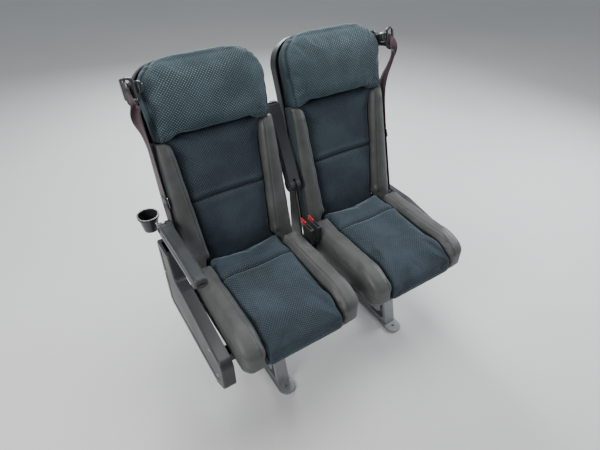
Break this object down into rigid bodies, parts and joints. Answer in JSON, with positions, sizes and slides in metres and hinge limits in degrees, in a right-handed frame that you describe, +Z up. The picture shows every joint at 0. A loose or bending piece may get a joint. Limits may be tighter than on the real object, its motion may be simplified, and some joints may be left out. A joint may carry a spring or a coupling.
{
  "type": "coach double seat",
  "caption": "Two-place reclining coach passenger seat with head pads, bolsters, folding armrests, shoulder belts, pockets and a cup holder on a floor frame.",
  "frame": {"origin": "on the floor, in the middle of the four floor bolts", "axes": "+X to the right of someone facing the seat, towards the window place; +Y to the rear of the vehicle, the seat faces -Y; +Z up"},
  "size_m": [1.027, 0.6699, 1.0941],
  "materials": {
    "head_fabric": "teal plush with pale woven dots",
    "seat_fabric": "navy plush with small dots",
    "leatherette": "soft grey leatherette",
    "webbing": "maroon belt webbing",
    "frame_steel": "black powder coat",
    "pan_steel": "grey powder coat",
    "cast_leg": "silver-grey coated casting",
    "bright_steel": "plated steel",
    "shell_plastic": "fine grained grey moulding",
    "cover_plastic": "satin dark grey moulding",
    "arm_plastic": "dark grey moulding",
    "arm_skin": "dark grey moulded soft skin",
    "button_plastic": "black push button",
    "guide_plastic": "glossy dark moulding",
    "buckle_plastic": "black buckle housing",
    "pocket_plastic": "dark grey pocket",
    "cup_plastic": "black cup ring"
  },
  "bodies": {
    "base": {"leg_aisle": "cast_leg", "leg_window": "cast_leg", "beam_front": "frame_steel", "beam_rear": "frame_steel", "recline_bracket_aisle_outer": "frame_steel", "recline_bracket_aisle_inner": "frame_steel", "recline_bracket_window_outer": "frame_steel", "recline_bracket_window_inner": "frame_steel", "arm_post_aisle": "frame_steel", "arm_post_centre": "frame_steel", "seat_pan_aisle": "pan_steel", "seat_pan_window": "pan_steel", "cushion_aisle": "seat_fabric", "cushion_window": "seat_fabric", "cushion_bolsters_aisle": "leatherette", "cushion_bolsters_window": "leatherette", "buckle_aisle": "buckle_plastic", "buckle_window": "buckle_plastic", "side_cover_aisle": "cover_plastic", "side_cover_window": "cover_plastic", "cup_holder": "cup_plastic"},
    "back_aisle": {"back_frame_aisle": "frame_steel", "back_shell_aisle": "shell_plastic", "head_pad_aisle": "head_fabric", "back_panel_aisle": "seat_fabric", "back_bolsters_aisle": "leatherette", "magazine_pocket_aisle": "pocket_plastic", "belt_guide_aisle": "guide_plastic", "belt_webbing_aisle": "webbing", "belt_anchor_aisle": "bright_steel", "belt_tongue_aisle": "bright_steel"},
    "back_window": {"back_frame_window": "frame_steel", "back_shell_window": "shell_plastic", "head_pad_window": "head_fabric", "back_panel_window": "seat_fabric", "back_bolsters_window": "leatherette", "magazine_pocket_window": "pocket_plastic", "belt_guide_window": "guide_plastic", "belt_webbing_window": "webbing", "belt_anchor_window": "bright_steel", "belt_tongue_window": "bright_steel"},
    "arm_aisle": {"arm_core_aisle": "arm_plastic", "arm_pad_aisle": "arm_skin", "recline_button_aisle": "button_plastic"},
    "arm_centre": {"arm_core_centre": "arm_plastic", "arm_pad_centre": "arm_skin", "recline_button_centre": "button_plastic"}
  },
  "joints": [
    {"name": "recline_aisle", "type": "hinge", "parent": "base", "child": "back_aisle", "pos_m": [-0.241, 0.11, 0.36], "axis": [-1, 0, 0], "range_deg": [0, 28]},
    {"name": "recline_window", "type": "hinge", "parent": "base", "child": "back_window", "pos_m": [0.241, 0.11, 0.36], "axis": [-1, 0, 0], "range_deg": [0, 28]},
    {"name": "fold_arm_aisle", "type": "hinge", "parent": "base", "child": "arm_aisle", "pos_m": [-0.482, 0.155, 0.608], "axis": [-1, 0, 0], "range_deg": [0, 116]},
    {"name": "fold_arm_centre", "type": "hinge", "parent": "base", "child": "arm_centre", "pos_m": [0, 0.155, 0.608], "axis": [-1, 0, 0], "range_deg": [-116, 0]}
  ]
}
